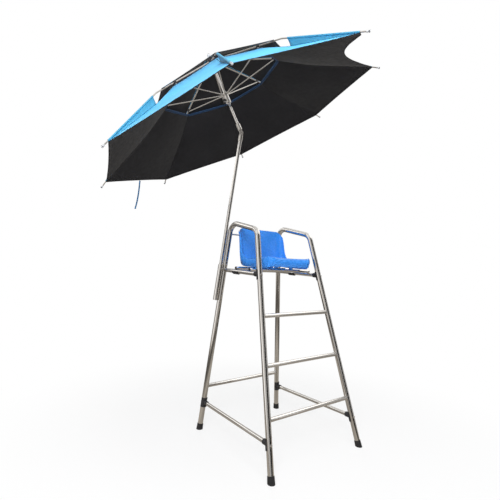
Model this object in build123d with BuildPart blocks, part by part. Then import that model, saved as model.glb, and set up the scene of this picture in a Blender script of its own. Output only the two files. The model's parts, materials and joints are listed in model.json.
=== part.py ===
"""Lifeguard chair of bent steel tube, with a moulded seat and a tilting umbrella on a mast.

The origin is on the ground in the middle of the four feet, +Z is up and the steps face -Y.
All lengths are in millimetres.
"""
import math
import os

from build123d import *

os.makedirs("parts", exist_ok=True)

LEFT = -1
RIGHT = 1

# Side frames: one bent tube each, front leg, arm and rear leg
front_foot_half = 460
rear_foot_half = 424
base_depth = 894
arm_front_half = 289
arm_front_y = 48
arm_front_height = 1619
arm_rear_y = 403
arm_rear_height = 1681
arm_bend = 75
leg_radius = 21
tube_wall = 1.5
weld_gap = 0.2

# Rubber feet
boot_floor = 8
boot_height = 46
boot_base_radius = 26.5
boot_top_radius = 23.5
boot_lip = 1.5

# Steps, rungs and stretchers
rung_radius = 15
step_first = 350
step_pitch = 325
step_names = ["lower_step", "middle_step", "upper_step"]
rear_rung_height = 343
stretcher_height = 215
rail_height = 1288
rear_rail_radius = 12.5
back_rod_drop = 97
back_rod_radius = 7

# Black plastic saddles between a stretcher and a leg
saddle_pad_height = 72
saddle_pad_thickness = 5
saddle_web = 6
saddle_sleeve_wall = 4
saddle_sleeve_length = 26

# Seat bearers and the clips that hold the rear one
front_bearer_y = 62
rear_bearer_y = 240
bearer_radius = 12
bearer_overhang = 8
clip_length = 60
clip_thickness = 8

# Moulded seat: lip, pan and back in one bent shell, with a wall along each side
seat_half_width = 245
seat_wall = 6
seat_front_y = -62
seat_lip_low = 1347
seat_lip_high = 1424
seat_pan_rear_y = 302
seat_pan_rear_height = 1346
seat_back_top_y = 352
seat_back_top_height = 1640
seat_lip_bend = 30
seat_rear_bend = 48
skirt_rise = 4
skirt_front_y = -22
skirt_bend = 16
rim_front_share = 0.16
rim_low_y = 182
rim_low_height = 1391
rim_back_y = 288
rim_back_height = 1488
rim_top_y = 318
rim_top_height = 1612
boss_spacing = 220
boss_radius = 16

# Mast holder on the rear left leg
holder_low = 1042
holder_length = 290
holder_radius = 20
holder_floor = 6
mast_spacing = 43
bracket_width = 16
bracket_height = 34
bracket_low = 128
bracket_pitch = 128
sliding_gap = 0.3

# Mast and its tilt joint
mast_radius = 14
elbow_height = 2426
sleeve_radius = 17
sleeve_length = 46
fork_reach = 26
cheek_radius = 15
cheek_thickness = 5
tongue_thickness = 12
tongue_radius = 13
tilt_pin_radius = 4

# Umbrella: lean and heading of its shaft, and the rib line seen from the side
canopy_lean = 26.8
canopy_heading = 145.5
rib_turn = 1.7
rib_count = 8
tip_plane_rise = 41
shaft_radius = 10
tip_reach = 1249
kink_reach = 680
kink_rise = 335
crown_rise = 594
kink_bend = 160
rib_radius = 5
rib_root_gap = 1.8
tip_cap_radius = 8
tip_cap_length = 24
tip_cap_end = 3

# Crown, finial and runner
crown_radius = 33
crown_height = 28
finial_radius = 20
finial_height = 34
shaft_above_crown = 46
runner_low = 226
runner_height = 80
runner_radius = 22
runner_flange_radius = 27
runner_flange_height = 14
runner_knob_radius = 9
runner_knob_length = 20
runner_knob_rise = 26

# Stretchers of the umbrella and their clips on the ribs
rib_joint_reach = 475
strut_radius = 4
rib_clip_length = 26
rib_clip_wall = 4

# Cloth: hung under the ribs from their clips to their tips, with a fin up to each rib
cloth = 2
hem_inset = 57
vent_setback = 22
vent_drop = 21
cloth_dip = 19
fin_setback = 42
fin_end = 30
notch_depth = 150
notch_end = 40
cap_reach = 616
cap_eye_radius = 14
strap_width = 20
strap_length = 275


def save(piece, name):
    """Label a finished piece and write it."""
    piece.part.label = name
    export_step(piece.part, f"parts/{name}.step")


def lie_between(start, end, height):
    """Point at a height on the line through two points."""
    return start + (end - start) * ((height - start.Z) / (end.Z - start.Z))


def frame_corners(side):
    """Corner points of one side frame: front foot, arm front, arm rear and rear foot, in one plane."""
    front_foot = Vector(side * front_foot_half, -base_depth / 2, 0)
    rear_foot = Vector(side * rear_foot_half, base_depth / 2, 0)
    arm_front = Vector(side * arm_front_half, arm_front_y, arm_front_height)
    normal = (rear_foot - front_foot).cross(arm_front - front_foot)
    step_y = arm_rear_y - front_foot.Y
    arm_rear_x = front_foot.X - (normal.Y * step_y + normal.Z * arm_rear_height) / normal.X
    arm_rear = Vector(arm_rear_x, arm_rear_y, arm_rear_height)
    return front_foot, arm_front, arm_rear, rear_foot


def front_leg(side, height):
    """Point on a front leg's centre line."""
    front_foot, arm_front, arm_rear, rear_foot = frame_corners(side)
    return lie_between(front_foot, arm_front, height)


def rear_leg(side, height):
    """Point on a rear leg's centre line."""
    front_foot, arm_front, arm_rear, rear_foot = frame_corners(side)
    return lie_between(rear_foot, arm_rear, height)


def leg_core(leg, side):
    """Solid that a leg takes up, from its foot to its arm, with the weld gap round it."""
    foot = leg(side, boot_floor)
    top = leg(side, arm_front_height)
    below = (top - foot).normalized() * leg_radius
    with BuildPart(Plane(origin=foot - below, z_dir=top - foot)) as core:
        Cylinder(
            leg_radius + weld_gap,
            (top - foot).length + leg_radius,
            align=(Align.CENTER, Align.CENTER, Align.MIN),
        )
        split(bisect_by=Plane.XY.offset(boot_floor), keep=Keep.TOP)
    return core.part


cores = {(leg, side): leg_core(leg, side) for leg in (front_leg, rear_leg) for side in (LEFT, RIGHT)}
side_names = {LEFT: "left", RIGHT: "right"}
leg_names = {front_leg: "front", rear_leg: "rear"}


def ring(outer_radius, wall):
    """Tube section."""
    Circle(outer_radius)
    Circle(outer_radius - wall, mode=Mode.SUBTRACT)


# Side frames
for side in (LEFT, RIGHT):
    with BuildPart() as side_frame:
        with BuildLine() as route:
            FilletPolyline(*frame_corners(side), radius=arm_bend)
        with BuildSketch(Plane(origin=route.wire() @ 0, z_dir=route.wire() % 0)):
            ring(leg_radius, tube_wall)
        sweep(path=route.wire())
        split(bisect_by=Plane.XY.offset(boot_floor), keep=Keep.TOP)
    save(side_frame, f"{side_names[side]}_side_frame")

# Rubber feet: flared, cut level with the ground
boot_tuck = 2 * boot_floor
for leg in (front_leg, rear_leg):
    for side in (LEFT, RIGHT):
        foot = leg(side, 0)
        up_leg = (leg(side, arm_front_height) - foot).normalized()
        with BuildPart() as boot:
            with Locations(Plane(origin=foot - up_leg * boot_tuck, z_dir=up_leg)):
                Cone(
                    boot_base_radius,
                    boot_top_radius,
                    boot_height + boot_tuck,
                    align=(Align.CENTER, Align.CENTER, Align.MIN),
                )
            fillet(boot.faces().sort_by(Axis.Z)[-1].edges(), boot_lip)
            split(bisect_by=Plane.XY, keep=Keep.TOP)
            add(cores[leg, side], mode=Mode.SUBTRACT)
        save(boot, f"{side_names[side]}_{leg_names[leg]}_foot")


def cross_tube(leg, height, radius, wall):
    """Level tube from leg to leg, coped to both of them."""
    end = leg(RIGHT, height)
    with BuildPart() as tube:
        with BuildSketch(Plane(origin=(0, end.Y, height), z_dir=(1, 0, 0))):
            ring(radius, wall)
        extrude(amount=end.X, both=True)
        for side in (LEFT, RIGHT):
            add(cores[leg, side], mode=Mode.SUBTRACT)
    return tube


for number, name in enumerate(step_names):
    save(cross_tube(front_leg, step_first + number * step_pitch, rung_radius, tube_wall), name)
save(cross_tube(rear_leg, rear_rung_height, rung_radius, tube_wall), "rear_rung")
save(cross_tube(rear_leg, rail_height, rear_rail_radius, tube_wall), "rear_seat_rail")
save(cross_tube(rear_leg, arm_rear_height - back_rod_drop, back_rod_radius, tube_wall), "back_rod")


def saddle(leg, side, height, toward):
    """Plastic fitting that hugs a leg and takes the end of a tube."""
    seat_point = leg(side, height)
    up_leg = (leg(side, arm_front_height) - leg(side, 0)).normalized()
    level = (toward - up_leg * toward.dot(up_leg)).normalized()
    pad_radius = leg_radius + saddle_pad_thickness
    sleeve_reach = leg_radius + saddle_web + saddle_sleeve_length
    with BuildPart() as fitting:
        with BuildSketch(Plane(seat_point - up_leg * (saddle_pad_height / 2), level, up_leg)):
            Circle(pad_radius)
            with Locations((pad_radius, 0)):
                Rectangle(2 * pad_radius, 2 * pad_radius, mode=Mode.INTERSECT)
        extrude(amount=saddle_pad_height)
        with BuildSketch(Plane(origin=seat_point, z_dir=toward)):
            Circle(rung_radius + saddle_sleeve_wall)
        extrude(amount=sleeve_reach)
        with BuildSketch(Plane(origin=seat_point + toward * (leg_radius + saddle_web), z_dir=toward)):
            Circle(rung_radius + weld_gap)
        extrude(amount=sleeve_reach, mode=Mode.SUBTRACT)
        add(cores[leg, side], mode=Mode.SUBTRACT)
    return fitting


# Side stretchers near the ground, each between two saddles
saddle_inset = leg_radius + saddle_web + weld_gap
for side in (LEFT, RIGHT):
    front_end = front_leg(side, stretcher_height)
    rear_end = rear_leg(side, stretcher_height)
    toward_rear = (rear_end - front_end).normalized()
    with BuildPart() as stretcher:
        with BuildSketch(Plane(origin=front_end + toward_rear * saddle_inset, z_dir=toward_rear)):
            ring(rung_radius, tube_wall)
        extrude(amount=(rear_end - front_end).length - 2 * saddle_inset)
    save(stretcher, f"{side_names[side]}_stretcher")
    for leg, toward in ((front_leg, toward_rear), (rear_leg, toward_rear * -1)):
        name = f"{side_names[side]}_{leg_names[leg]}_stretcher_saddle"
        save(saddle(leg, side, stretcher_height, toward), name)

# Seat rails: a saddle on the front leg, coped to the rear leg
for side in (LEFT, RIGHT):
    front_end = front_leg(side, rail_height)
    rear_end = rear_leg(side, rail_height)
    toward_rear = (rear_end - front_end).normalized()
    with BuildPart() as rail:
        with BuildSketch(Plane(origin=front_end + toward_rear * saddle_inset, z_dir=toward_rear)):
            ring(rung_radius, tube_wall)
        extrude(amount=(rear_end - front_end).length - saddle_inset)
        add(cores[rear_leg, side], mode=Mode.SUBTRACT)
    save(rail, f"{side_names[side]}_seat_rail")
    save(saddle(front_leg, side, rail_height, toward_rear), f"{side_names[side]}_seat_rail_saddle")


def rail_point(side, along_y):
    """Point on a seat rail's centre line."""
    front_end = front_leg(side, rail_height)
    rear_end = rear_leg(side, rail_height)
    return front_end + (rear_end - front_end) * ((along_y - front_end.Y) / (rear_end.Y - front_end.Y))


# Seat bearers across the rails
bearer_height = rail_height + rung_radius + weld_gap + bearer_radius
for along_y, name in ((front_bearer_y, "front_seat_bearer"), (rear_bearer_y, "rear_seat_bearer")):
    with BuildPart() as bearer:
        with BuildSketch(Plane(origin=(0, along_y, bearer_height), z_dir=(1, 0, 0))):
            ring(bearer_radius, tube_wall)
        extrude(amount=rail_point(RIGHT, along_y).X + bearer_overhang, both=True)
    save(bearer, name)

# Clips under the rails that hold the rear bearer down
clip_radius = rung_radius + clip_thickness
for side in (LEFT, RIGHT):
    clip_middle = rail_point(side, rear_bearer_y)
    along_rail = (rear_leg(side, rail_height) - front_leg(side, rail_height)).normalized()
    with BuildPart() as rail_clip:
        with BuildSketch(Plane(clip_middle - along_rail * (clip_length / 2), (1, 0, 0), along_rail)):
            Circle(clip_radius)
            Circle(rung_radius + weld_gap, mode=Mode.SUBTRACT)
            with Locations((0, clip_radius)):
                Rectangle(2 * clip_radius, 2 * clip_radius, mode=Mode.INTERSECT)
        extrude(amount=clip_length)
    save(rail_clip, f"{side_names[side]}_rail_clip")

# Moulded seat, drawn from the side and extruded across
lip_foot = (seat_front_y, seat_lip_low)
lip_crest = (seat_front_y, seat_lip_high)
pan_rear = (seat_pan_rear_y, seat_pan_rear_height)
back_top = (seat_back_top_y, seat_back_top_height)
pan_run = Vector(*pan_rear) - Vector(*lip_crest)
back_run = Vector(*back_top) - Vector(*pan_rear)
rim_front = Vector(*lip_crest) + pan_run * rim_front_share
rim_low = (rim_low_y, rim_low_height)
rim_back = (rim_back_y, rim_back_height)
rim_top = (rim_top_y, rim_top_height)
bearer_top = bearer_height + bearer_radius
skirt_height = bearer_top + skirt_rise
skirt_rear = (seat_pan_rear_y, skirt_height)
skirt_front = (skirt_front_y, skirt_height)
wall_bends = [skirt_bend, seat_rear_bend, skirt_bend, skirt_bend, seat_lip_bend]
with BuildPart() as seat:
    with BuildSketch(Plane.YZ):
        with BuildLine():
            FilletPolyline(lip_foot, lip_crest, pan_rear, back_top, radius=[seat_lip_bend, seat_rear_bend])
            offset(amount=seat_wall, side=Side.RIGHT)
        make_face()
    extrude(amount=seat_half_width, both=True)
    for side in (LEFT, RIGHT):
        with BuildSketch(Plane.YZ.offset(side * (seat_half_width - seat_wall / 2))):
            with BuildLine():
                Spline(rim_front, rim_low, rim_back, rim_top, tangents=[pan_run, back_run])
                FilletPolyline(
                    rim_top,
                    back_top,
                    skirt_rear,
                    skirt_front,
                    lip_foot,
                    lip_crest,
                    rim_front,
                    radius=wall_bends,
                )
            make_face()
        extrude(amount=seat_wall / 2, both=True)
    for along_y in (front_bearer_y, rear_bearer_y):
        pan_share = (along_y - seat_front_y) / pan_run.X
        boss_top = seat_lip_high + pan_run.Y * pan_share - seat_wall / 2
        with BuildSketch(Plane.XY.offset(bearer_top + sliding_gap)):
            with GridLocations(boss_spacing, 0, 2, 1):
                with Locations((0, along_y)):
                    Circle(boss_radius)
        extrude(amount=boss_top - bearer_top - sliding_gap)
save(seat, "seat_shell")

# Mast line: beside the rear left leg and parallel to it
mast_up = (rear_leg(LEFT, arm_rear_height) - rear_leg(LEFT, 0)).normalized()
outward = (Vector(-1, 0, 0) - mast_up * Vector(-1, 0, 0).dot(mast_up)).normalized()


def mast_point(height):
    """Point on the mast's centre line."""
    return lie_between(
        rear_leg(LEFT, 0) + outward * mast_spacing,
        rear_leg(LEFT, arm_rear_height) + outward * mast_spacing,
        height,
    )


# Holder tube with a closed foot
with BuildPart(Plane(origin=mast_point(holder_low), z_dir=mast_up)) as holder:
    Cylinder(holder_radius, holder_length, align=(Align.CENTER, Align.CENTER, Align.MIN))
    with Locations((0, 0, holder_floor)):
        Cylinder(
            mast_radius + sliding_gap,
            holder_length,
            align=(Align.CENTER, Align.CENTER, Align.MIN),
            mode=Mode.SUBTRACT,
        )
save(holder, "mast_holder")

# Two brackets welded between the holder and the leg
for name, lift in (("lower_mast_bracket", bracket_low), ("upper_mast_bracket", bracket_low + bracket_pitch)):
    bracket_foot = mast_point(holder_low) + mast_up * (lift - bracket_height / 2)
    with BuildPart() as bracket:
        with BuildSketch(Plane(bracket_foot, outward, mast_up)):
            with Locations((-mast_spacing / 2, 0)):
                Rectangle(mast_spacing, bracket_width)
            Circle(holder_radius + weld_gap, mode=Mode.SUBTRACT)
            with Locations((-mast_spacing, 0)):
                Circle(leg_radius + weld_gap, mode=Mode.SUBTRACT)
        extrude(amount=bracket_height)
    save(bracket, name)

# Mast tube, from the holder's floor to the tilt joint
pivot = mast_point(elbow_height)
mast_foot = mast_point(holder_low) + mast_up * (holder_floor + sliding_gap)
mast_length = (pivot - mast_foot).length - fork_reach
with BuildPart() as mast:
    with BuildSketch(Plane(origin=mast_foot, z_dir=mast_up)):
        ring(mast_radius, tube_wall)
    extrude(amount=mast_length)
save(mast, "mast_tube")

# Umbrella shaft direction and the pin across the tilt joint
shaft_up = Vector(0, 0, 1).rotate(Axis.Y, canopy_lean).rotate(Axis.Z, canopy_heading)
pin_along = mast_up.cross(shaft_up).normalized()
half_tongue = tongue_thickness / 2
cheek_inner = half_tongue + sliding_gap
cheek_outer = cheek_inner + cheek_thickness


def knuckle_plate(away, radius, low, high):
    """Plate beside the pivot: round about the pin, running along its tube to the sleeve."""
    with BuildPart() as plate:
        with BuildSketch(Plane(pivot + pin_along * low, away, pin_along)):
            Circle(radius)
            with Locations((fork_reach / 2, 0)):
                Rectangle(fork_reach, 2 * radius)
            Circle(tilt_pin_radius + weld_gap, mode=Mode.SUBTRACT)
        extrude(amount=high - low)
    return plate.part


cheeks = [
    knuckle_plate(mast_up * -1, cheek_radius, cheek_inner, cheek_outer),
    knuckle_plate(mast_up * -1, cheek_radius, -cheek_outer, -cheek_inner),
]
tongue = knuckle_plate(shaft_up, tongue_radius, -half_tongue, half_tongue)

# Fork on top of the mast: a sleeve and two cheeks
with BuildPart() as fork:
    with BuildSketch(Plane(origin=pivot - mast_up * (fork_reach + sleeve_length), z_dir=mast_up)):
        Circle(sleeve_radius)
        Circle(mast_radius + weld_gap, mode=Mode.SUBTRACT)
    extrude(amount=sleeve_length)
    with BuildSketch(Plane(origin=pivot - mast_up * (fork_reach - weld_gap), z_dir=mast_up)):
        Circle(sleeve_radius)
    extrude(amount=cheek_thickness)
    add(cheeks)
save(fork, "tilt_fork")

# Pin through the fork
with BuildPart() as tilt_pin:
    with BuildSketch(Plane(origin=pivot - pin_along * cheek_outer, z_dir=pin_along)):
        Circle(tilt_pin_radius)
    extrude(amount=2 * cheek_outer)
save(tilt_pin, "tilt_pin")

# Knuckle under the umbrella's shaft: a tongue and a sleeve
with BuildPart() as knuckle:
    with BuildSketch(Plane(origin=pivot + shaft_up * fork_reach, z_dir=shaft_up)):
        Circle(sleeve_radius)
    extrude(amount=cheek_thickness)
    with BuildSketch(Plane(origin=pivot + shaft_up * (fork_reach + cheek_thickness), z_dir=shaft_up)):
        Circle(sleeve_radius)
        Circle(shaft_radius + weld_gap, mode=Mode.SUBTRACT)
    extrude(amount=sleeve_length)
    add(tongue)
save(knuckle, "tilt_knuckle")

# Umbrella frame: origin in the middle of the rib tips, +Z along the shaft
level_x = (Vector(1, 0, 0) - shaft_up * shaft_up.X).normalized()
level_y = shaft_up.cross(level_x)
tip_middle = pivot + shaft_up * tip_plane_rise


def radial(angle):
    """Direction outward from the shaft, at an angle round it."""
    turn = math.radians(angle + rib_turn)
    return level_x * math.cos(turn) + level_y * math.sin(turn)


canopy_plane = Plane(tip_middle, radial(0), shaft_up)
rib_angles = [360 / rib_count * number for number in range(rib_count)]


def side_plane(angle):
    """Plane through the shaft and one direction: first axis outward, second along the shaft."""
    outward_line = radial(angle)
    return Plane(tip_middle, outward_line, outward_line.cross(shaft_up))


def rib_rise(reach):
    """Height of a rib's centre line over the tips, at a distance from the shaft."""
    if reach < kink_reach:
        return crown_rise - (crown_rise - kink_rise) * reach / kink_reach
    return kink_rise * (tip_reach - reach) / (tip_reach - kink_reach)


# Shaft, from the knuckle through the runner to the finial
shaft_foot = fork_reach + cheek_thickness + weld_gap - tip_plane_rise
shaft_top = crown_rise + crown_height / 2 + shaft_above_crown
with BuildPart() as shaft:
    with BuildSketch(canopy_plane.offset(shaft_foot)):
        ring(shaft_radius, tube_wall)
    extrude(amount=shaft_top - shaft_foot)
save(shaft, "umbrella_shaft")

# Crown that the ribs hang in
with BuildPart(canopy_plane) as crown:
    with Locations((0, 0, crown_rise)):
        Cylinder(crown_radius, crown_height)
        Cylinder(shaft_radius + weld_gap, crown_height, mode=Mode.SUBTRACT)
save(crown, "crown")

# Runner with a flange for the stretchers
with BuildPart(canopy_plane) as runner:
    with Locations((0, 0, runner_low)):
        Cylinder(runner_radius, runner_height, align=(Align.CENTER, Align.CENTER, Align.MIN))
    with Locations((0, 0, runner_low + runner_height)):
        Cylinder(
            runner_flange_radius,
            runner_flange_height,
            align=(Align.CENTER, Align.CENTER, Align.MAX),
        )
        Cylinder(
            shaft_radius + weld_gap,
            runner_height,
            align=(Align.CENTER, Align.CENTER, Align.MAX),
            mode=Mode.SUBTRACT,
        )
save(runner, "runner")

# Thumb knob on the runner
knob_way = radial(180)
knob_root = tip_middle + shaft_up * (runner_low + runner_knob_rise) + knob_way * (runner_radius + weld_gap)
with BuildPart(Plane(origin=knob_root, z_dir=knob_way)) as runner_knob:
    Cylinder(
        runner_knob_radius,
        runner_knob_length,
        align=(Align.CENTER, Align.CENTER, Align.MIN),
    )
save(runner_knob, "runner_knob")

# Ribs: each bent once
rib_root = crown_radius + rib_root_gap
with BuildPart() as ribs:
    for angle in rib_angles:
        rib_plane = side_plane(angle)
        root = rib_plane.from_local_coords(Vector(rib_root, rib_rise(rib_root), 0))
        kink = rib_plane.from_local_coords(Vector(kink_reach, kink_rise, 0))
        tip = rib_plane.from_local_coords(Vector(tip_reach, 0, 0))
        with BuildLine() as rib_route:
            FilletPolyline(root, kink, tip, radius=kink_bend)
        with BuildSketch(Plane(origin=rib_route.wire() @ 0, z_dir=rib_route.wire() % 0)):
            Circle(rib_radius)
        sweep(path=rib_route.wire())
save(ribs, "ribs")

# Caps on the rib tips
tip_slope = Vector(tip_reach - kink_reach, -kink_rise, 0).normalized()
cap_start = Vector(tip_reach, 0, 0) - tip_slope * (tip_cap_length - tip_cap_end)
with BuildPart() as rib_tips:
    for angle in rib_angles:
        rib_plane = side_plane(angle)
        start = rib_plane.from_local_coords(cap_start)
        end = rib_plane.from_local_coords(cap_start + tip_slope)
        with BuildSketch(Plane(origin=start, z_dir=end - start)):
            Circle(tip_cap_radius)
        extrude(amount=tip_cap_length)
        with BuildSketch(Plane(origin=start, z_dir=end - start)):
            Circle(rib_radius + weld_gap)
        extrude(amount=tip_cap_length - tip_cap_end + weld_gap, mode=Mode.SUBTRACT)
save(rib_tips, "rib_tips")

# Clips on the ribs, and the stretchers from the runner to them
rib_slope = Vector(kink_reach, kink_rise - crown_rise, 0).normalized()
under_rib = Vector(rib_slope.Y, -rib_slope.X, 0)
joint = Vector(rib_joint_reach, rib_rise(rib_joint_reach), 0)
clip_start = joint - rib_slope * (rib_clip_length / 2)
with BuildPart() as rib_clips:
    for angle in rib_angles:
        rib_plane = side_plane(angle)
        start = rib_plane.from_local_coords(clip_start)
        end = rib_plane.from_local_coords(clip_start + rib_slope)
        with BuildSketch(Plane(origin=start, z_dir=end - start)):
            Circle(rib_radius + rib_clip_wall)
            Circle(rib_radius + weld_gap, mode=Mode.SUBTRACT)
        extrude(amount=rib_clip_length)
save(rib_clips, "rib_clips")

strut_foot = Vector(runner_flange_radius + strut_radius, runner_low + runner_height - runner_flange_height / 2, 0)
strut_head = joint + under_rib * (rib_radius + rib_clip_wall + weld_gap + strut_radius)
with BuildPart() as struts:
    for angle in rib_angles:
        rib_plane = side_plane(angle)
        start = rib_plane.from_local_coords(strut_foot)
        end = rib_plane.from_local_coords(strut_head)
        with BuildSketch(Plane(origin=start, z_dir=end - start)):
            Circle(strut_radius)
        extrude(amount=(end - start).length)
save(struts, "rib_stretchers")


def eight_sided(reach, height):
    """Outline of the cloth at one height, with its corners over the ribs."""
    with BuildSketch(canopy_plane.offset(height)) as outline:
        RegularPolygon(reach, rib_count)
    return outline.sketch


def cloth_tent(outer_reach, outer_rise, inner_reach, inner_rise):
    """Eight-sided sheet of cloth with straight slopes, open at its foot and at its top."""
    fall = (inner_rise - outer_rise) / (outer_reach - inner_reach)
    over = [
        eight_sided(outer_reach, outer_rise + cloth),
        eight_sided(inner_reach, inner_rise + cloth),
    ]
    under = [
        eight_sided(outer_reach + cloth / fall, outer_rise - cloth),
        eight_sided(inner_reach - 2 * cloth / fall, inner_rise + 2 * cloth),
    ]
    with BuildPart() as sheet:
        loft(over, ruled=True)
        loft(under, ruled=True, mode=Mode.SUBTRACT)
    return sheet


# Main canopy, under the ribs from its hem to the vent, dipping under the kinks, with a notch cut in one hem
hem_reach = tip_reach - hem_inset
vent_reach = rib_joint_reach + vent_setback
fin_reach = kink_reach + fin_setback
rib_fall = math.hypot(tip_reach - kink_reach, kink_rise) / (tip_reach - kink_reach)
over_rib = rib_radius * rib_fall + sliding_gap
hem_top = rib_rise(hem_reach) - over_rib
vent_top = rib_rise(vent_reach) - vent_drop
dip_share = (hem_reach - fin_reach) / (hem_reach - vent_reach)
fin_foot = hem_top + (vent_top - hem_top) * dip_share - cloth_dip
panel_half = math.pi / rib_count
notch_turn = 13 * panel_half
notch_half = hem_reach * math.sin(panel_half) - notch_end
notch_radius = (notch_half**2 + notch_depth**2) / (2 * notch_depth)
notch_middle = hem_reach * math.cos(panel_half) - notch_depth + notch_radius
outer_tent = cloth_tent(hem_reach, hem_top - cloth, fin_reach, fin_foot - cloth)
inner_tent = cloth_tent(fin_reach, fin_foot - cloth, vent_reach, vent_top - cloth)
with BuildPart() as main_canopy:
    add(outer_tent.part)
    add(inner_tent.part)
    with BuildSketch(canopy_plane):
        with Locations((notch_middle * math.cos(notch_turn), notch_middle * math.sin(notch_turn))):
            Circle(notch_radius)
    extrude(amount=crown_rise, mode=Mode.SUBTRACT)
save(main_canopy, "main_canopy")


def cloth_top(reach):
    """Height of the canopy's upper side under the outer part of a rib, at a distance from the shaft."""
    return hem_top + (fin_foot - hem_top) * (hem_reach - reach) / (hem_reach - fin_reach)


# Fins of cloth between the outer part of each rib and the canopy
fin_ends = (fin_reach, hem_reach - fin_end)
fin_upper = [(reach, rib_rise(reach) - over_rib) for reach in fin_ends]
fin_lower = [(reach, cloth_top(reach) + sliding_gap) for reach in reversed(fin_ends)]
with BuildPart() as rib_fins:
    for angle in rib_angles:
        with BuildSketch(side_plane(angle)):
            with BuildLine():
                Polyline(*fin_upper, *fin_lower, close=True)
            make_face()
        extrude(amount=cloth / 2, both=True)
save(rib_fins, "rib_fins")

# Top cap over the vent, held on the shaft between the crown and the finial
crown_top = crown_rise + crown_height / 2
crown_corner = crown_radius / math.cos(math.pi / rib_count)
cap_low = rib_rise(cap_reach) + over_rib
cap_fall = (crown_top + sliding_gap - cap_low) / (cap_reach - crown_corner)
cap_top_reach = cap_eye_radius + cloth / cap_fall
cap_high = cap_low + cap_fall * (cap_reach - cap_top_reach)
top_cap = cloth_tent(cap_reach, cap_low, cap_top_reach, cap_high)
save(top_cap, "top_cap")

# Finial on the shaft's end
finial_low = cap_high + cloth + sliding_gap
with BuildPart(canopy_plane) as finial:
    with Locations((0, 0, finial_low)):
        Cone(finial_radius, finial_radius / 2, finial_height, align=(Align.CENTER, Align.CENTER, Align.MIN))
        Cylinder(
            shaft_radius + weld_gap,
            shaft_top - finial_low + weld_gap,
            align=(Align.CENTER, Align.CENTER, Align.MIN),
            mode=Mode.SUBTRACT,
        )
save(finial, "finial")

# Tie strap that hangs from the middle of one hem
strap_side = 2.5 * 360 / rib_count
hem_middle_reach = hem_reach * math.cos(panel_half) - cloth
strap_rise = hem_top - cloth - sliding_gap
strap_top = side_plane(strap_side).from_local_coords(Vector(hem_middle_reach, strap_rise, 0))
hem_way = shaft_up.cross(radial(strap_side))
level_hem = Vector(hem_way.X, hem_way.Y, 0).normalized()
with BuildPart() as strap:
    with BuildSketch(Plane(strap_top, level_hem, (0, 0, -1))):
        Rectangle(strap_width, cloth)
    extrude(amount=strap_length)
save(strap, "tie_strap")
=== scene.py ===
import json
import math

import bpy
from mathutils import Matrix, Vector, noise


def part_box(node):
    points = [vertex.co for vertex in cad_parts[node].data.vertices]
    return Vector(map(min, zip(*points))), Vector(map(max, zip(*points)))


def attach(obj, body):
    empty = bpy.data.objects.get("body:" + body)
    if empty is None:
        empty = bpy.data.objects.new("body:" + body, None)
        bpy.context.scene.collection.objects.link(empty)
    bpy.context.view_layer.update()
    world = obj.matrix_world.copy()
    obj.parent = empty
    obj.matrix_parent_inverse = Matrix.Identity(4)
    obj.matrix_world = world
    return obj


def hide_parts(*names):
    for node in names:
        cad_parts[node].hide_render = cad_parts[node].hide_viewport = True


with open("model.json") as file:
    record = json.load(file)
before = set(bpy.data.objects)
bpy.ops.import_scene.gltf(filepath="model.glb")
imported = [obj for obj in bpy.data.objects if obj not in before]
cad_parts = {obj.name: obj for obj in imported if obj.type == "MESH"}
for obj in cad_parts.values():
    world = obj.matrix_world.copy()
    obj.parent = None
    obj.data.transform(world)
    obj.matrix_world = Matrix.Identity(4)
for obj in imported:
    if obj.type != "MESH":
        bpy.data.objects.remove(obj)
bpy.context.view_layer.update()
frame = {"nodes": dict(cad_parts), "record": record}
nodes = frame["nodes"]
scene = bpy.context.scene
scene.view_settings.view_transform = "Standard"


# Shader nodes

def add_node(tree, kind, **values):
    made = tree.nodes.new(kind)
    for key, value in values.items():
        setattr(made, key, value)
    return made


def put(made, **values):
    """Set a node's inputs; an underscore stands for a space in an input's name."""
    for key, value in values.items():
        made.inputs[key.replace("_", " ")].default_value = value


def set_stops(made, stops):
    """Give a colour ramp its stops, each a place and a colour."""
    while len(made.color_ramp.elements) < len(stops):
        made.color_ramp.elements.new(0.5)
    for element, (place, colour) in zip(made.color_ramp.elements, stops):
        element.position = place
        element.color = tuple(colour) + (1,)


NOISE_LOW, NOISE_HIGH = 0.3, 0.7    # most values of a noise texture lie between these
WAVES_PER_UNIT = 3.183              # of a wave texture at scale 1


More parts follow.
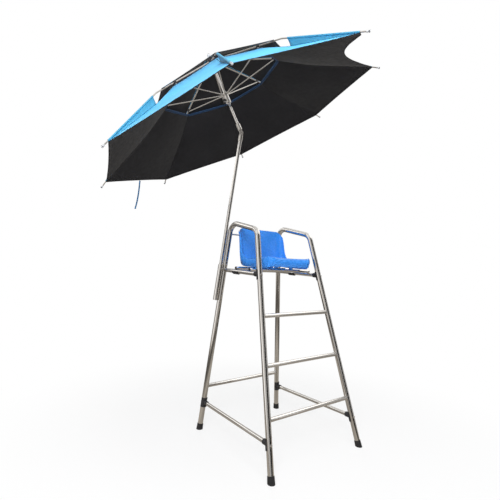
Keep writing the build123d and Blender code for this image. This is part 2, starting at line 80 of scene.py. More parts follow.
class Shader:
    """A node material with one Principled shader and helpers for its textures."""

    def __init__(self, name):
        self.mat = bpy.data.materials.new(name)
        self.mat.use_nodes = True
        self.tree = self.mat.node_tree
        self.bsdf = self.tree.nodes["Principled BSDF"]
        self.coord = self.node("ShaderNodeTexCoord")

    def node(self, kind, **values):
        return add_node(self.tree, kind, **values)

    def link(self, a, b):
        self.tree.links.new(a, b)

    def set(self, **values):
        put(self.bsdf, **values)
        return self

    def noise(self, scale, detail, rough):
        made = self.node("ShaderNodeTexNoise")
        put(made, Scale=scale, Detail=detail, Roughness=rough)
        self.link(self.coord.outputs["Object"], made.inputs["Vector"])
        return made.outputs["Fac"]

    def ramp(self, fac, stops):
        made = self.node("ShaderNodeValToRGB")
        set_stops(made, stops)
        self.link(fac, made.inputs["Fac"])
        return made.outputs["Color"]

    def spread(self, fac, low, high):
        made = self.node("ShaderNodeMapRange")
        put(made, From_Min=NOISE_LOW, From_Max=NOISE_HIGH, To_Min=low, To_Max=high)
        self.link(fac, made.inputs["Value"])
        return made.outputs["Result"]

    def bump(self, fac, strength, distance, after=None):
        made = self.node("ShaderNodeBump")
        put(made, Strength=strength, Distance=distance)
        self.link(fac, made.inputs["Height"])
        if after is not None:
            self.link(after, made.inputs["Normal"])
        return made.outputs["Normal"]

    def weave(self, pitch):
        """Plain weave: two crossed sets of threads."""
        product = self.node("ShaderNodeMath", operation="MULTIPLY")
        for number, way in enumerate(("X", "Y")):
            made = self.node("ShaderNodeTexWave", wave_type="BANDS", bands_direction=way, wave_profile="SIN")
            put(made, Scale=1 / (pitch * WAVES_PER_UNIT), Distortion=0.4)
            self.link(self.coord.outputs["UV"], made.inputs["Vector"])
            self.link(made.outputs["Fac"], product.inputs[number])
        return product.outputs["Value"]

    def paint(self, colour, rough, normal):
        for name, value in (("Base Color", colour), ("Roughness", rough), ("Normal", normal)):
            self.link(value, self.bsdf.inputs[name])
        return self.mat


def steel_material(name, low, high, rough_low, rough_high):
    """Metal between two tints, with finer changes of polish and a very fine grain."""
    s = Shader(name).set(Metallic=1.0)
    return s.paint(
        s.ramp(s.noise(7, 5, 0.6), [(NOISE_LOW, low), (NOISE_HIGH, high)]),
        s.spread(s.noise(38, 6, 0.7), rough_low, rough_high),
        s.bump(s.noise(420, 2, 0.5), 0.02, 0.0004))


def plastic_material(name, low, high, rough, grain, coat=0.0, spec=0.5):
    """Moulded plastic or rubber between two tints, with a fine grain."""
    s = Shader(name).set(Coat_Weight=coat, Coat_Roughness=0.08, Specular_IOR_Level=spec)
    return s.paint(
        s.ramp(s.noise(9, 4, 0.6), [(NOISE_LOW, low), (0.72, high)]),
        s.spread(s.noise(60, 5, 0.6), rough - 0.06, rough + 0.08),
        s.bump(s.noise(900, 3, 0.6), grain, 0.0005))


THREAD = 0.0016


def cloth_material(name, low, high, rough, sheen, tint, wrinkle=0.12, spec=0.5):
    """Woven cloth between two tints, with soft wrinkles under the weave."""
    s = Shader(name).set(Sheen_Weight=sheen, Sheen_Roughness=0.4, Sheen_Tint=tint, Specular_IOR_Level=spec)
    return s.paint(
        s.ramp(s.noise(2.6, 5, 0.6), [(0.32, low), (0.68, high)]),
        s.spread(s.noise(30, 5, 0.6), rough - 0.05, rough + 0.07),
        s.bump(s.weave(THREAD), 0.03, 0.0002, s.bump(s.noise(7, 3, 0.5), wrinkle, 0.012)))


SKY, PALE, WHITE = (0.6, 0.85, 1, 1), (0.6, 0.8, 1, 1), (1, 1, 1, 1)
STEEL = steel_material("polished_steel", (0.70, 0.685, 0.665), (0.76, 0.745, 0.73), 0.07, 0.12)
RIB = steel_material("rib_metal", (0.56, 0.54, 0.51), (0.70, 0.68, 0.65), 0.24, 0.36)
PLASTIC = plastic_material("black_plastic", (0.012, 0.012, 0.014), (0.024, 0.024, 0.027), 0.42, 0.15)
WELD = steel_material("weld_bead", (0.50, 0.49, 0.475), (0.64, 0.63, 0.61), 0.28, 0.42)
RUBBER = plastic_material("black_rubber", (0.011, 0.011, 0.012), (0.022, 0.022, 0.023), 0.68, 0.4)
TIP = plastic_material("tip_plastic", (0.42, 0.43, 0.45), (0.60, 0.61, 0.63), 0.35, 0.1)
SEAT = plastic_material("seat_plastic", (0.034, 0.245, 0.78), (0.040, 0.270, 0.83), 0.26, 0.06, coat=0.22, spec=0.34)
OUTER = cloth_material("canopy_outside", (0.080, 0.42, 0.74), (0.098, 0.47, 0.80), 0.62, 0.15, SKY)
# Darker copy of the canopy cloth for the fins and sleeves: painted shade, since they face sideways
SHADED_FIN = cloth_material("fin_cloth_painted_shade", (0.048, 0.255, 0.40), (0.058, 0.290, 0.45), 0.66, 0.1, SKY)
INNER = cloth_material("canopy_inside", (0.015, 0.0145, 0.017), (0.021, 0.0205, 0.023), 0.62, 0.0, WHITE, spec=0.22)
PIPING = cloth_material("piping", (0.010, 0.034, 0.085), (0.014, 0.046, 0.115), 0.65, 0.05, PALE, 0.05, 0.3)
STRAP = cloth_material("strap_webbing", (0.035, 0.22, 0.50), (0.055, 0.30, 0.62), 0.7, 0.2, PALE, 0.05)

by_slot = {
    "steel": STEEL, "rubber": RUBBER, "black_plastic": PLASTIC, "rib_metal": RIB,
    "seat_plastic": SEAT, "canopy_cloth": OUTER, "strap": STRAP,
}
for sub in frame["record"]["subparts"]:
    piece = nodes[sub["node"]]
    piece.data.materials.clear()
    piece.data.materials.append(by_slot[sub["material_slot"]])
for name in ("rib_tips", "finial"):
    nodes[name].data.materials[0] = TIP
for name in ("runner", "tilt_fork", "tilt_knuckle"):
    nodes[name].data.materials[0] = RIB


# Meshes

def mesh_piece(name, points, faces, mats, body, smooth=True, uvs=None):
    mesh = bpy.data.meshes.new(name)
    mesh.from_pydata([tuple(p) for p in points], [], faces)
    for m in mats:
        mesh.materials.append(m)
    if uvs is not None:
        layer = mesh.uv_layers.new(name="UVMap")
        for loop in mesh.loops:
            layer.data[loop.index].uv = uvs[loop.vertex_index]
    mesh.validate()
    if smooth:
        mesh.polygons.foreach_set("use_smooth", [True] * len(mesh.polygons))
    mesh.update()
    piece = bpy.data.objects.new(name, mesh)
    scene.collection.objects.link(piece)
    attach(piece, body)
    return piece


def ring_faces(base, rings, sides, closed=False):
    """Faces between rings of points, with one over each end unless the last ring joins the first."""
    faces = []
    for k in range(rings if closed else rings - 1):
        here, there = base + k * sides, base + ((k + 1) % rings) * sides
        for j in range(sides):
            n = (j + 1) % sides
            faces.append((here + j, here + n, there + n, there + j))
    if not closed:
        faces.append(tuple(base + j for j in reversed(range(sides))))
        faces.append(tuple(base + (rings - 1) * sides + j for j in range(sides)))
    return faces


def tube(name, paths, radius, sides, mat, body, closed=False):
    """Round bead along one or more lists of points."""
    points, faces = [], []
    for path in paths:
        count = len(path)
        base = len(points)
        side = None
        for k, p in enumerate(path):
            if closed:
                way = path[(k + 1) % count] - path[k - 1]
            else:
                way = path[min(k + 1, count - 1)] - path[max(k - 1, 0)]
            way.normalize()
            if side is None:
                side = way.orthogonal().normalized()
            side = (side - way * side.dot(way)).normalized()
            over = way.cross(side)
            for j in range(sides):
                a = 2 * math.pi * j / sides
                points.append(p + (side * math.cos(a) + over * math.sin(a)) * radius)
        faces += ring_faces(base, count, sides, closed)
    return mesh_piece(name, points, faces, [mat], body)


# Umbrella: the same lines as the solids, in metres. A reach is measured out from the shaft, a rise up from the tips
# of the ribs.

PIVOT = Vector((-0.243372, 0.383500, 2.426))
LEAN, HEADING, TURN = math.radians(26.8), math.radians(145.5), math.radians(1.7)
UP = Vector((math.sin(LEAN) * math.cos(HEADING), math.sin(LEAN) * math.sin(HEADING), math.cos(LEAN)))
TIPS_OVER_PIVOT = 0.041
MIDDLE = PIVOT + UP * TIPS_OVER_PIVOT
LEVEL_X = (Vector((1, 0, 0)) - UP * UP.x).normalized()
LEVEL_Y = UP.cross(LEVEL_X)
RIBS = 8
TIP_REACH, KINK_REACH, KINK_RISE, CROWN_RISE = 1.249, 0.680, 0.335, 0.594
HEM_REACH, FIN_REACH, VENT_REACH, CAP_REACH = 1.192, 0.722, 0.497, 0.616
JOINT_REACH = 0.475
KINK_EASE, FIN_EASE = 0.0133, 0.05
OVER_RIB = 0.0061
THICK = 0.0012


def radial(turns):
    a = turns * 2 * math.pi / RIBS + TURN
    return LEVEL_X * math.cos(a) + LEVEL_Y * math.sin(a)


def bent(t, before, after, soft):
    """Fall from a corner at t = 0, with one slope before it and another after, eased through the corner."""
    if t < -soft:
        return -before * t
    if t > soft:
        return -after * t
    part = (t + soft) / (2 * soft)
    return -before * t - (after - before) * soft * part * part


def rise(reach):
    """Height of a rib over the tips."""
    inner = (CROWN_RISE - KINK_RISE) / KINK_REACH
    outer = KINK_RISE / (TIP_REACH - KINK_REACH)
    return KINK_RISE + bent(reach - KINK_REACH, inner, outer, KINK_EASE)


def rib_point(turns, reach, lift=0.0):
    return MIDDLE + radial(turns) * reach + UP * (rise(reach) + lift)


def bow(u):
    return 4 * u * (1 - u)


# Main cloth: how far it hangs below the ribs at the vent and dips at the fins, and the cut-out in one hem panel
VENT_DROP, FIN_DIP = 0.021, 0.019
HEM_TOP = rise(HEM_REACH) - OVER_RIB
VENT_TOP = rise(VENT_REACH) - VENT_DROP
FIN_FOOT = HEM_TOP + (VENT_TOP - HEM_TOP) * (HEM_REACH - FIN_REACH) / (HEM_REACH - VENT_REACH) - FIN_DIP
OUTER_SLOPE = (FIN_FOOT - HEM_TOP) / (HEM_REACH - FIN_REACH)
INNER_SLOPE = (VENT_TOP - FIN_FOOT) / (FIN_REACH - VENT_REACH)
NOTCH_PANEL, NOTCH_DEPTH, NOTCH_END = 6, 0.150, 0.040
NOTCH_HALF = HEM_REACH * math.sin(math.pi / RIBS) - NOTCH_END
HEM_BOW = 0.008
SAG_LEAST, SAG_MORE = 0.003, 0.011
FOLD_DEPTH, FOLDS_ACROSS, FOLDS_ALONG, FOLD_STEP = 0.0035, 3.0, 1.3, 7.1
FOLD_START, FOLD_RUN = 0.08, 0.84
PULL_DEPTH, PULLS, PULL_SHIFT = 0.0014, 7, 0.37
PANEL_WIDTH, PANEL_LENGTH = 0.8, 0.53


def cloth_point(turns, reach, lift):
    """Point of the main cloth under a rib."""
    height = FIN_FOOT + bent(reach - FIN_REACH, INNER_SLOPE, OUTER_SLOPE, FIN_EASE) + lift
    return MIDDLE + radial(turns) * reach + UP * height


def fold_wave(u, along, place):
    return noise.noise(Vector((u * FOLDS_ACROSS, along, place)))


def main_point(panel, u, v, lift):
    """Point of the main cloth: u from rib to rib, v from the vent to the hem."""
    if panel % RIBS == NOTCH_PANEL:
        x = (u - 0.5) * 2 * HEM_REACH * math.sin(math.pi / RIBS) / NOTCH_HALF
        cut = NOTCH_DEPTH * max(0.0, 1 - x * x)
    else:
        cut = HEM_BOW * bow(u)
    reach = VENT_REACH + (HEM_REACH - VENT_REACH) * v - cut * v ** 2.0
    flat = cloth_point(panel, reach, lift).lerp(cloth_point(panel + 1, reach, lift), u)
    normal = (radial(panel + 0.5) * 0.5 + UP).normalized()
    depth = SAG_LEAST + SAG_MORE * math.sin(math.pi * min(1.0, max(0.0, v)) ** 0.8)
    wave = fold_wave(u, v * FOLDS_ALONG, panel * FOLD_STEP)
    fold = FOLD_DEPTH * wave * bow(u) * bow(min(1.0, FOLD_START + FOLD_RUN * v))
    near_rib = bow(min(u * 4, (1 - u) * 4, 1.0) * 0.5)
    pull_wave = math.sin(2 * math.pi * (u * PULLS + PULL_SHIFT * panel))
    pull = PULL_DEPTH * pull_wave * v ** 4 * (1 - bow(u)) * near_rib
    return flat - normal * (depth * bow(u) + fold + pull)


def sheet_of(point, across, along, lift, thick, mats, name):
    """Thin closed sheet of canopy cloth: outside, inside and edge, each with its own material."""
    points, uvs, faces, which = [], [], [], []
    ring, rows = RIBS * across, along + 1
    for height in (lift + thick, lift):
        for panel in range(RIBS):
            for i in range(across):
                for j in range(rows):
                    points.append(point(panel, i / across, j / along, height))
                    uvs.append(((panel + i / across) * PANEL_WIDTH, j / along * PANEL_LENGTH))

    def at(layer, k, j):
        return (layer * ring + k) * rows + j

    for k in range(ring):
        n = (k + 1) % ring
        for j in range(along):
            faces.append((at(0, k, j), at(0, k, j + 1), at(0, n, j + 1), at(0, n, j)))
            faces.append((at(1, k, j), at(1, n, j), at(1, n, j + 1), at(1, k, j + 1)))
            which += [0, 1]
        faces.append((at(0, k, 0), at(0, n, 0), at(1, n, 0), at(1, k, 0)))
        faces.append((at(0, k, along), at(1, k, along), at(1, n, along), at(0, n, along)))
        which += [2, 2]
    piece = mesh_piece(name, points, faces, mats, "canopy", uvs=uvs)
    piece.data.polygons.foreach_set("material_index", which)
    return piece


MAIN_ACROSS, MAIN_ALONG, CAP_ACROSS, CAP_ALONG = 24, 24, 16, 14
canopy = sheet_of(main_point, MAIN_ACROSS, MAIN_ALONG, -THICK, THICK, [OUTER, INNER, INNER], "canopy_cloth_main")
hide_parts("main_canopy")
canopy.visible_glossy = False    # the steel mirrors the studio, not the cloth

# Top cap: flat panels from just over the crown down to the ribs, with an eye in the middle
HALF_CROWN, CROWN_RADIUS, EYE_RADIUS = 0.014, 0.033, 0.014
SLIDING_GAP, SOLID_CLOTH = 0.0003, 0.002
CROWN_TOP = CROWN_RISE + HALF_CROWN
CAP_LOW = rise(CAP_REACH) + OVER_RIB
CAP_FALL = (CROWN_TOP + SLIDING_GAP - CAP_LOW) / (CAP_REACH - CROWN_RADIUS / math.cos(math.pi / RIBS))
CAP_EYE = EYE_RADIUS + SOLID_CLOTH / CAP_FALL
CAP_BOW, CAP_SAG, CAP_HEM_SAG, CAP_FOLD = 0.003, 0.007, 0.002, 0.002
CAP_FOLDS_ALONG, CAP_FOLD_STEP, CAP_FOLD_START = 1.5, 5.3, 40


def cap_point(panel, u, v, lift):
    """Point of the top cap: v from the eye to the hem."""
    reach = CAP_EYE + (CAP_REACH - CAP_EYE) * v
    reach -= CAP_BOW * bow(u) * v ** 2.2
    height = CAP_LOW + CAP_FALL * (CAP_REACH - reach) + lift
    a = MIDDLE + radial(panel) * reach + UP * height
    b = MIDDLE + radial(panel + 1) * reach + UP * height
    depth = CAP_SAG * math.sin(math.pi * v ** 0.9) + CAP_HEM_SAG * v
    fold = CAP_FOLD * fold_wave(u, v * CAP_FOLDS_ALONG, panel * CAP_FOLD_STEP + CAP_FOLD_START) * bow(u) * bow(v)
    return a.lerp(b, u) - UP * (depth * bow(u) + fold)


cap = sheet_of(cap_point, CAP_ACROSS, CAP_ALONG, 0.0, THICK, [OUTER, INNER, OUTER], "canopy_cloth_cap")
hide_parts("top_cap")
cap.visible_glossy = False

# Hems, bindings, pipings and seams; a start or an end is a part of the way from the inner to the outer edge
HEM_FOLD = 0.0008
MAIN_HEM_START, CAP_HEM_START, BINDING_END = 0.966, 0.955, 0.022
BEAD, VENT_BEAD, BEAD_SIDES = 0.0022, 0.0040, 6
CAP_EDGE_STEPS, MAIN_SEAM_STEPS, CAP_SEAM_STEPS = 20, 30, 20


def strip_of(point, start, end, lift, name, mat, across):
    """Folded hem: a second layer of cloth along part of a sheet."""
    def along_hem(panel, u, v, height):
        return point(panel, u, start + (end - start) * v, height)
    return sheet_of(along_hem, across, 2, lift, HEM_FOLD, [mat] * 3, name)


def piping_of(point, v, lift, steps, radius, name, mat):
    """Bead all round a sheet at one part of the way out."""
    path = [point(p, k / steps, v, lift) for p in range(RIBS) for k in range(steps)]
    return tube(name, [path], radius, BEAD_SIDES, mat, "canopy", closed=True)


def seams_of(point, lift, steps, name, mat):
    """Beads along the seams at the ribs."""
    paths = [[point(p, 0.0, k / steps, lift) for k in range(steps + 1)] for p in range(RIBS)]
    return tube(name, paths, BEAD, BEAD_SIDES, mat, "canopy")


hem_pieces = [
    strip_of(main_point, MAIN_HEM_START, 1.0, 0.0, "hem_outside", OUTER, MAIN_ACROSS),
    strip_of(main_point, MAIN_HEM_START, 1.0, -THICK - HEM_FOLD, "hem_inside", INNER, MAIN_ACROSS),
    strip_of(main_point, 0.0, BINDING_END, -THICK - HEM_FOLD, "vent_binding", PIPING, MAIN_ACROSS),
    piping_of(main_point, 1.0, -THICK / 2, MAIN_ACROSS, BEAD, "hem_piping", INNER),
    piping_of(main_point, 0.0, -THICK / 2, MAIN_ACROSS, VENT_BEAD, "vent_piping", PIPING),
    seams_of(main_point, -THICK - HEM_FOLD / 2, MAIN_SEAM_STEPS, "seams_inside", INNER),
]
cap_pieces = [
    strip_of(cap_point, CAP_HEM_START, 1.0, THICK, "cap_hem_outside", OUTER, CAP_ACROSS),
    strip_of(cap_point, CAP_HEM_START, 1.0, -HEM_FOLD, "cap_hem_inside", INNER, CAP_ACROSS),
    piping_of(cap_point, 1.0, THICK / 2, CAP_EDGE_STEPS, BEAD, "cap_piping", INNER),
    seams_of(cap_point, THICK, CAP_SEAM_STEPS, "cap_seams", OUTER),
]
# The cap throws no shadow, so that the band of cloth round it stays bright
for piece in [cap] + cap_pieces:
    piece.visible_shadow = False

# Fins of cloth from the canopy up to the outer part of each rib, ending in a sleeve round the rib; both use a darker
# copy of the canopy cloth, whose darkness is painted shade for their sideways faces
FIN_END, FIN_STEPS, FIN_ROWS = 1.162, 24, 6
FIN_LOW, FIN_HIGH, FIN_DEPTH = 0.0004, -0.0052, 0.08
FIN_RIPPLE, FIN_HALF, FIN_FLARE_LOW, FIN_FLARE_HIGH = 0.0022, 0.0007, 0.0035, 0.0018
RIPPLE_STEP, RIPPLE_SHIFT = 0.9, 2.1
SLEEVE_RADIUS, SLEEVE_SIDES, SLEEVE_STEPS = 0.0068, 12, 30


def fin_faces(start):
    """Faces of one fin: both sides with the lower and upper edge, then both ends."""
    per_side = (FIN_STEPS + 1) * (FIN_ROWS + 1)
    faces = []

    def at(half, k, j):
        return start + half * per_side + k * (FIN_ROWS + 1) + j

    for k in range(FIN_STEPS):
        n = k + 1
        for j in range(FIN_ROWS):
            faces.append((at(0, k, j), at(0, k, j + 1), at(0, n, j + 1), at(0, n, j)))
            faces.append((at(1, k, j), at(1, n, j), at(1, n, j + 1), at(1, k, j + 1)))
        for j in (0, FIN_ROWS):
            edge = (at(0, k, j), at(0, n, j), at(1, n, j), at(1, k, j))
            faces.append(edge if j == 0 else edge[::-1])
    last = FIN_STEPS
    for j in range(FIN_ROWS):
        faces.append((at(0, 0, j), at(1, 0, j), at(1, 0, j + 1), at(0, 0, j + 1)))
        faces.append((at(0, last, j), at(0, last, j + 1), at(1, last, j + 1), at(1, last, j)))
    return faces


def across_rib(turns):
    return UP.cross(radial(turns)).normalized()


points, faces, uvs = [], [], []
for turns in range(RIBS):
    faces += fin_faces(len(points))
    for half in (1, -1):
        for k in range(FIN_STEPS + 1):
            reach = FIN_REACH + (FIN_END - FIN_REACH) * k / FIN_STEPS
            low = cloth_point(turns, reach, FIN_LOW)
            high = rib_point(turns, reach, FIN_HIGH)
            for j in range(FIN_ROWS + 1):
                t = j / FIN_ROWS
                ripple_wave = math.sin(k * RIPPLE_STEP + turns * RIPPLE_SHIFT)
                ripple = FIN_RIPPLE * ripple_wave * bow(t) * (1 - k / FIN_STEPS)
                flare = FIN_HALF + FIN_FLARE_LOW * (1 - t) ** 6 + FIN_FLARE_HIGH * t ** 6
                points.append(low.lerp(high, t) + across_rib(turns) * (ripple + half * flare))
                uvs.append((reach, t * FIN_DEPTH))
fins = mesh_piece("canopy_fins", points, faces, [SHADED_FIN], "canopy", uvs=uvs)
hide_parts("rib_fins")
sleeve_paths = [
    [rib_point(turns, FIN_REACH + (HEM_REACH - FIN_REACH) * k / SLEEVE_STEPS) for k in range(SLEEVE_STEPS + 1)]
    for turns in range(RIBS)
]
sleeves = tube("rib_sleeves", sleeve_paths, SLEEVE_RADIUS, SLEEVE_SIDES, SHADED_FIN, "canopy")

# Flat webbing: its section as parts of half its width and thickness, thinner at the two edges
WEB_FLAT, WEB_EDGE = 0.86, 0.55
WEB_RING = [(-1, -1), (-WEB_FLAT, -1), (WEB_FLAT, -1), (1, -1), (1, 1), (WEB_FLAT, 1), (-WEB_FLAT, 1), (-1, 1)]


def ribbon(name, paths, widths, width, thick, mat, body):
    """Flat webbing along lists of points; each list has its own direction across."""
    points, faces, uvs = [], [], []
    for path, across in zip(paths, widths):
        base, run = len(points), 0.0
        for k, p in enumerate(path):
            before = path[max(k - 1, 0)]
            way = (path[min(k + 1, len(path) - 1)] - before).normalized()
            over = way.cross(across).normalized()
            run += (p - before).length
            for x, y in WEB_RING:
                slim = WEB_EDGE if abs(x) == 1 else 1.0
                points.append(p + across * (x * width / 2) + over * (y * slim * thick / 2))
                uvs.append((x * width / 2, run))
        faces += ring_faces(base, len(path), len(WEB_RING))
    return mesh_piece(name, points, faces, [mat], body, smooth=False, uvs=uvs)


# Tabs that hold the corners of the vent on the rib clips
TAB_WIDTH, TAB_THICK, TAB_STEPS = 0.011, 0.0016, 8
TAB_ON_CLOTH, TAB_PAST_VENT, TAB_ON_CLIP = 0.012, 0.007, 0.004
TAB_UNDER_CLOTH, TAB_UNDER_RIB = -0.0030, -0.0105
tab_paths = []
for turns in range(RIBS):
    low = cloth_point(turns, VENT_REACH + TAB_ON_CLOTH, TAB_UNDER_CLOTH)
    middle = cloth_point(turns, VENT_REACH - TAB_PAST_VENT, 0.0)
    high = rib_point(turns, JOINT_REACH + TAB_ON_CLIP, TAB_UNDER_RIB)
    parts = [k / TAB_STEPS for k in range(TAB_STEPS + 1)]
    tab_paths.append([low.lerp(middle, t).lerp(middle.lerp(high, t), t) for t in parts])
tab_sides = [across_rib(turns) for turns in range(RIBS)]
tabs = ribbon("vent_tabs", tab_paths, tab_sides, TAB_WIDTH, TAB_THICK, INNER, "canopy")

# Tie strap, sewn to the hem in the middle of one panel; its end swings a little along the hem
STRAP_LENGTH, STRAP_WIDTH, STRAP_THICK, STRAP_STEPS = 0.275, 0.020, 0.0018, 24
STRAP_PANEL, STRAP_DROP, STRAP_LEAN, STRAP_CURL = 2.5, 0.985, 0.010, 0.034
strap_low, strap_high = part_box("tie_strap")
strap_top = Vector(((strap_low[0] + strap_high[0]) / 2, (strap_low[1] + strap_high[1]) / 2, strap_high[2]))
strap_along = UP.cross(radial(STRAP_PANEL))
strap_along.z = 0
strap_along.normalize()
strap_path = []
for k in range(STRAP_STEPS + 1):
    t = k / STRAP_STEPS
    swing = STRAP_LEAN * t + STRAP_CURL * t ** 2.6
    strap_path.append(strap_top + Vector((0, 0, -STRAP_LENGTH * t * STRAP_DROP)) + strap_along * swing)
strap = ribbon("tie_strap_webbing", [strap_path], [strap_along], STRAP_WIDTH, STRAP_THICK, STRAP, "canopy")
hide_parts("tie_strap")

# Moulded seat, in millimetres seen from the side, front to back: the middle of the pan and back, the rims, the lower
# edge of the walls, and half the width as the second number
SEAT_LINES = {
    "base": [(-36, 1347), (-53, 1368), (-62, 1394), (-50, 1419), (-20, 1416), (40, 1401), (110, 1386), (180, 1370),
             (240, 1359), (280, 1358), (304, 1374), (313, 1404), (320, 1445), (328, 1495), (340, 1565), (347, 1612),
             (352, 1640)],
    "rim": [(-36, 1347), (-53, 1368), (-62, 1395), (-50, 1421), (-20, 1419), (40, 1409), (110, 1398), (180, 1391),
            (226, 1400), (255, 1420), (273, 1447), (283, 1475), (290, 1505), (298, 1540), (310, 1585), (322, 1616),
            (338, 1634)],
    "foot": [(-36, 1347), (-35, 1346), (-34, 1345), (-31, 1341), (-20, 1335), (40, 1332), (110, 1331), (180, 1331),
             (240, 1331), (282, 1337), (306, 1360), (316, 1402), (323, 1445), (331, 1495), (343, 1565), (350, 1612),
             (354, 1639)],
    "width": [(0, 226), (0, 227), (0, 228), (0, 230), (0, 233), (0, 238), (0, 242), (0, 244), (0, 245), (0, 245),
              (0, 245), (0, 245), (0, 244), (0, 243), (0, 241), (0, 239), (0, 238)],
}
SEAT_STEPS, SEAT_ROW_UV = 6, 0.01
PAN_STEPS, WALL_STEPS, SKIRT_STEPS = 10, 8, 6
WALL_BLEND, EDGE, PAN_HOLLOW, SEAT_WALL = 0.052, 0.007, 0.007, 0.0042
EDGE_TOP, EDGE_UP, EDGE_IN, EDGE_DOWN = 0.45, 0.0016, 0.0008, 0.0012
SKIRT_BELLY, SKIRT_FULL, TUCK, TUCK_START, TUCK_RUN = 0.0012, 0.05, 0.020, 0.45, 0.55
CORNER_X, CORNER_Y, CORNER_RUN, CORNER_POWER = 0.238, 0.010, 0.070, 2.4
TOP_X, TOP_Z, TOP_RUN, BACK_LEAN = 0.240, 1.585, 0.060, 0.17


def smooth_line(points, steps):
    """Catmull-Rom line through points given in millimetres, in metres."""
    found = []
    for k in range(len(points) - 1):
        p0, p1, p2, p3 = (Vector(points[min(max(k + d, 0), len(points) - 1)]) for d in (-1, 0, 1, 2))
        for j in range(steps):
            t = j / steps
            found.append((2 * p1 + (p2 - p0) * t + (2 * p0 - 5 * p1 + 4 * p2 - p3) * t ** 2
                          + (3 * p1 - p0 - 3 * p2 + p3) * t ** 3) / 2000)
    found.append(Vector(points[-1]) / 1000)
    return found


def ease(t):
    return t * t * (3 - 2 * t)


lines = {key: smooth_line(points, SEAT_STEPS) for key, points in SEAT_LINES.items()}


def seat_row(k):
    """Points of one cross line of the seat, from its middle to the lower edge of its right wall."""
    base, rim, foot, width = (lines[key][k] for key in ("base", "rim", "foot", "width"))
    half = width.y
    last = len(lines["base"]) - 1
    way = (lines["base"][min(k + 1, last)] - lines["base"][max(k - 1, 0)]).normalized()
    inward = Vector((-way.y, way.x))
    row = []
    for j in range(PAN_STEPS):
        x = (half - WALL_BLEND) * j / PAN_STEPS
        row.append((x, base - inward * PAN_HOLLOW * bow(k / last) * (1 - (x / half) ** 2)))
    for j in range(WALL_STEPS):
        a = j / WALL_STEPS * math.pi / 2
        row.append((half - WALL_BLEND + (WALL_BLEND - EDGE) * math.sin(a), base.lerp(rim, 1 - math.cos(a))))
    row.append((half - EDGE, rim))
    row.append((half - EDGE * EDGE_TOP, rim + inward * EDGE_UP))
    row.append((half - EDGE_IN, rim - inward * EDGE_DOWN))
    for j in range(1, SKIRT_STEPS + 1):
        t = j / SKIRT_STEPS
        tuck = TUCK * ease(max(0.0, (t - TUCK_START) / TUCK_RUN))
        row.append((half + SKIRT_BELLY * bow(t) - tuck * min(1.0, (rim - foot).length / SKIRT_FULL),
                    rim.lerp(foot, t)))
    return row


def rounded(over):
    """Part of a corner's depth that is left, from all of it where the corner starts to none at its end."""
    return math.sqrt(max(0.0, 1 - min(over, 1.0) ** CORNER_POWER))


def seat_corner(x, y, z):
    """Round the front corners seen from above and the top corners seen from the front."""
    over = (abs(x) - (CORNER_X - CORNER_RUN)) / CORNER_RUN
    if y < CORNER_Y and over > 0:
        y = CORNER_Y + (y - CORNER_Y) * rounded(over)
    over = (abs(x) - (TOP_X - TOP_RUN)) / TOP_RUN
    if z > TOP_Z and over > 0:
        drop = (z - TOP_Z) * (1 - rounded(over))
        z -= drop
        y -= drop * BACK_LEAN
    return x, y, z


points, faces, uvs = [], [], []
rows = [seat_row(k) for k in range(len(lines["base"]))]
for k, row in enumerate(rows):
    for x, p in [(-x, p) for x, p in reversed(row[1:])] + row:
        points.append(seat_corner(x, p.x, p.y))
        uvs.append((x, k * SEAT_ROW_UV))
across = 2 * len(rows[0]) - 1
for k in range(len(rows) - 1):
    for j in range(across - 1):
        faces.append((k * across + j, k * across + j + 1, (k + 1) * across + j + 1, (k + 1) * across + j))
seat = mesh_piece("moulded_seat", points, faces, [SEAT], "chair", uvs=uvs)
shell = seat.modifiers.new("wall", "SOLIDIFY")
shell.thickness, shell.offset, shell.use_even_offset = SEAT_WALL, -1.0, False
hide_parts("seat_shell")

# Bosses under the seat, from the bearers up into the pan
BOSS_X, BOSS_RADIUS, BOSS_SIDES, BOSS_STEPS = 0.110, 0.016, 24, 4
BOSS_UNDER_PAN, BOSS_OVER_BEARER, PAN_HIGHEST = 0.006, 0.0004, 1.45
BEARERS = ("front_seat_bearer", "rear_seat_bearer")
BEARER_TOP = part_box("front_seat_bearer")[1][2]
boss_paths = []
for y in ((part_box(n)[0][1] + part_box(n)[1][1]) / 2 for n in BEARERS):
    top = min(lines["base"], key=lambda p: abs(p.x - y) + (1 if p.y > PAN_HIGHEST else 0)).y - BOSS_UNDER_PAN
    for x in (-BOSS_X, BOSS_X):
        heights = [BEARER_TOP + BOSS_OVER_BEARER + (top - BEARER_TOP) * k / BOSS_STEPS for k in range(BOSS_STEPS + 1)]
        boss_paths.append([Vector((x, y, z)) for z in heights])
tube("seat_bosses", boss_paths, BOSS_RADIUS, BOSS_SIDES, SEAT, "chair")


# Turned pieces, welds, bolts and plugs

SHARP = math.radians(35)
BOLT_SIDES, TIP_SIDES, PIN_SIDES, PLUG_SIDES = 20, 20, 12, 24


def turned(name, spots, profile, sides, mats, body, which=None):
    """Pieces turned on a lathe: each spot is a place and an axis, the profile is radius and distance along it."""
    which = which or [0] * (len(profile) - 1)
    points, faces, index = [], [], []
    for place, axis in spots:
        axis = axis.normalized()
        side = axis.orthogonal().normalized()
        over = axis.cross(side)
        faces += ring_faces(len(points), len(profile), sides)
        for radius, along in profile:
            for j in range(sides):
                a = 2 * math.pi * j / sides
                points.append(place + axis * along + (side * math.cos(a) + over * math.sin(a)) * radius)
        index += [number for number in which for j in range(sides)] + [which[0], which[-1]]
    piece = mesh_piece(name, points, faces, mats, body)
    piece.data.polygons.foreach_set("material_index", index)
    piece.data.set_sharp_from_angle(angle=SHARP)
    return piece


LOOP_PARTS, LOOP_LEAST = 48, 0.95


